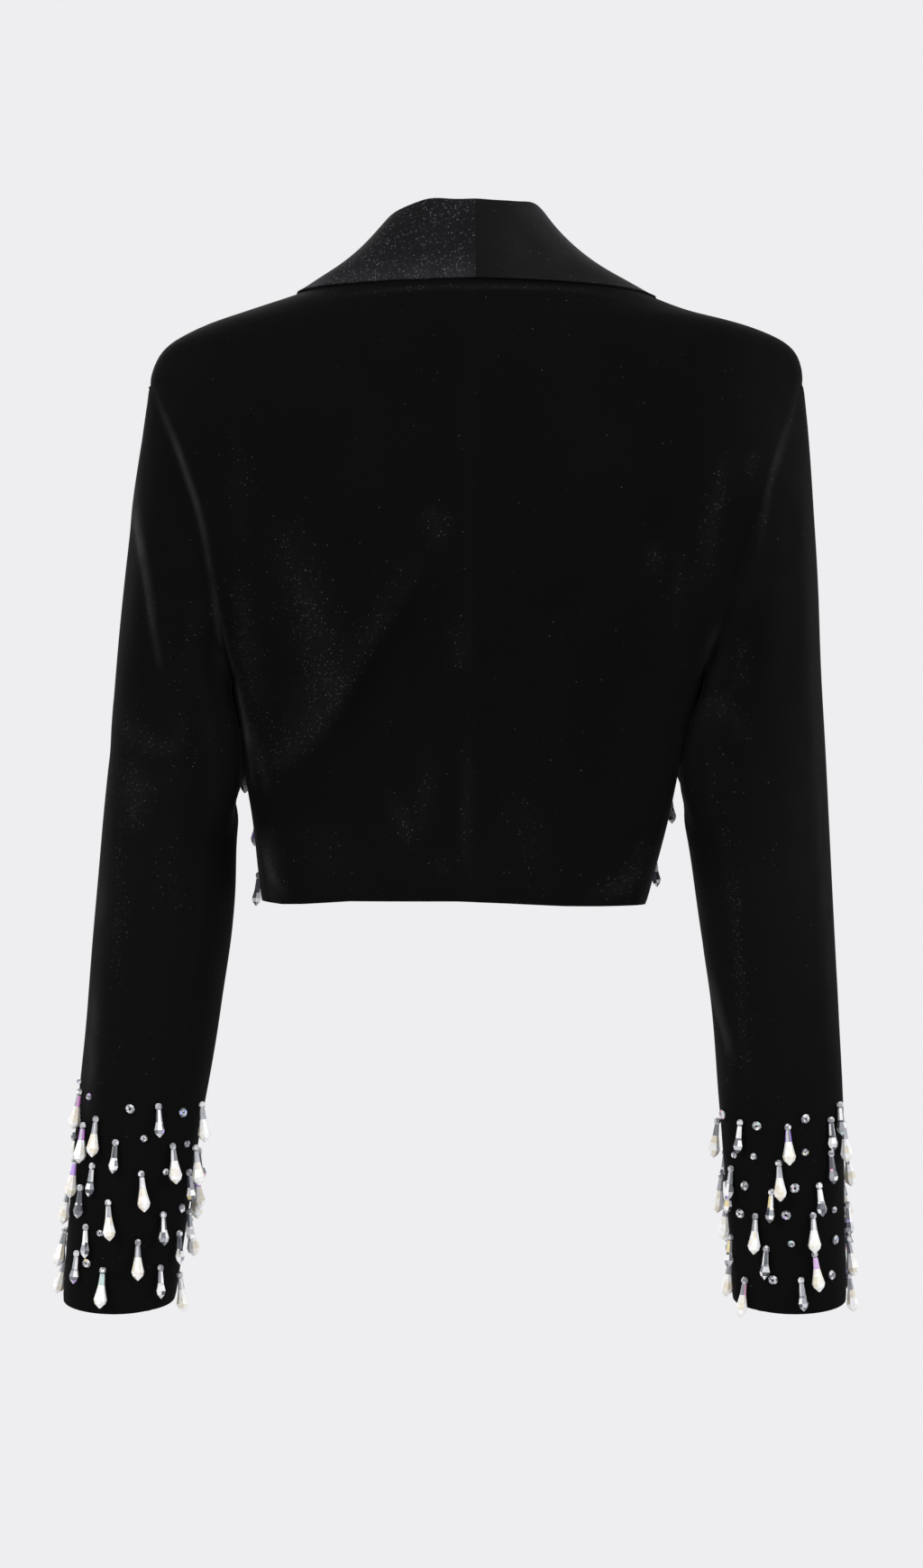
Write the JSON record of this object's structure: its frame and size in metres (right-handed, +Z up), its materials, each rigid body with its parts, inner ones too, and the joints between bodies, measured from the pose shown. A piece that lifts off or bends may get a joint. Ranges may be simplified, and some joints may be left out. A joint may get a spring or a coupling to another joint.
{
  "type": "embellished blazer",
  "caption": "Cropped velvet blazer in its hollow worn form, with a rolled shawl collar, padded shoulders, two-piece long sleeves and hanging crystal trim.",
  "frame": {"origin": "centre of the neck base, where the wearer carries the jacket", "axes": "+X towards the wearer's left, +Y towards the wearer's back, +Z up"},
  "size_m": [0.5045, 0.2181, 0.7006],
  "materials": {
    "velvet": "black cut-pile velvet, nap down",
    "collar_velvet": "black cut-pile velvet, halves cut with opposite nap",
    "crystal": "faceted clear and iridescent crystal drops and beads"
  },
  "bodies": {
    "root": {"back_left": "velvet", "back_right": "velvet", "front_left": "velvet", "front_right": "velvet", "sleeve_upper_left": "velvet", "sleeve_under_left": "velvet", "sleeve_upper_right": "velvet", "sleeve_under_right": "velvet", "collar_left": "collar_velvet", "collar_right": "collar_velvet"}
  },
  "joints": []
}
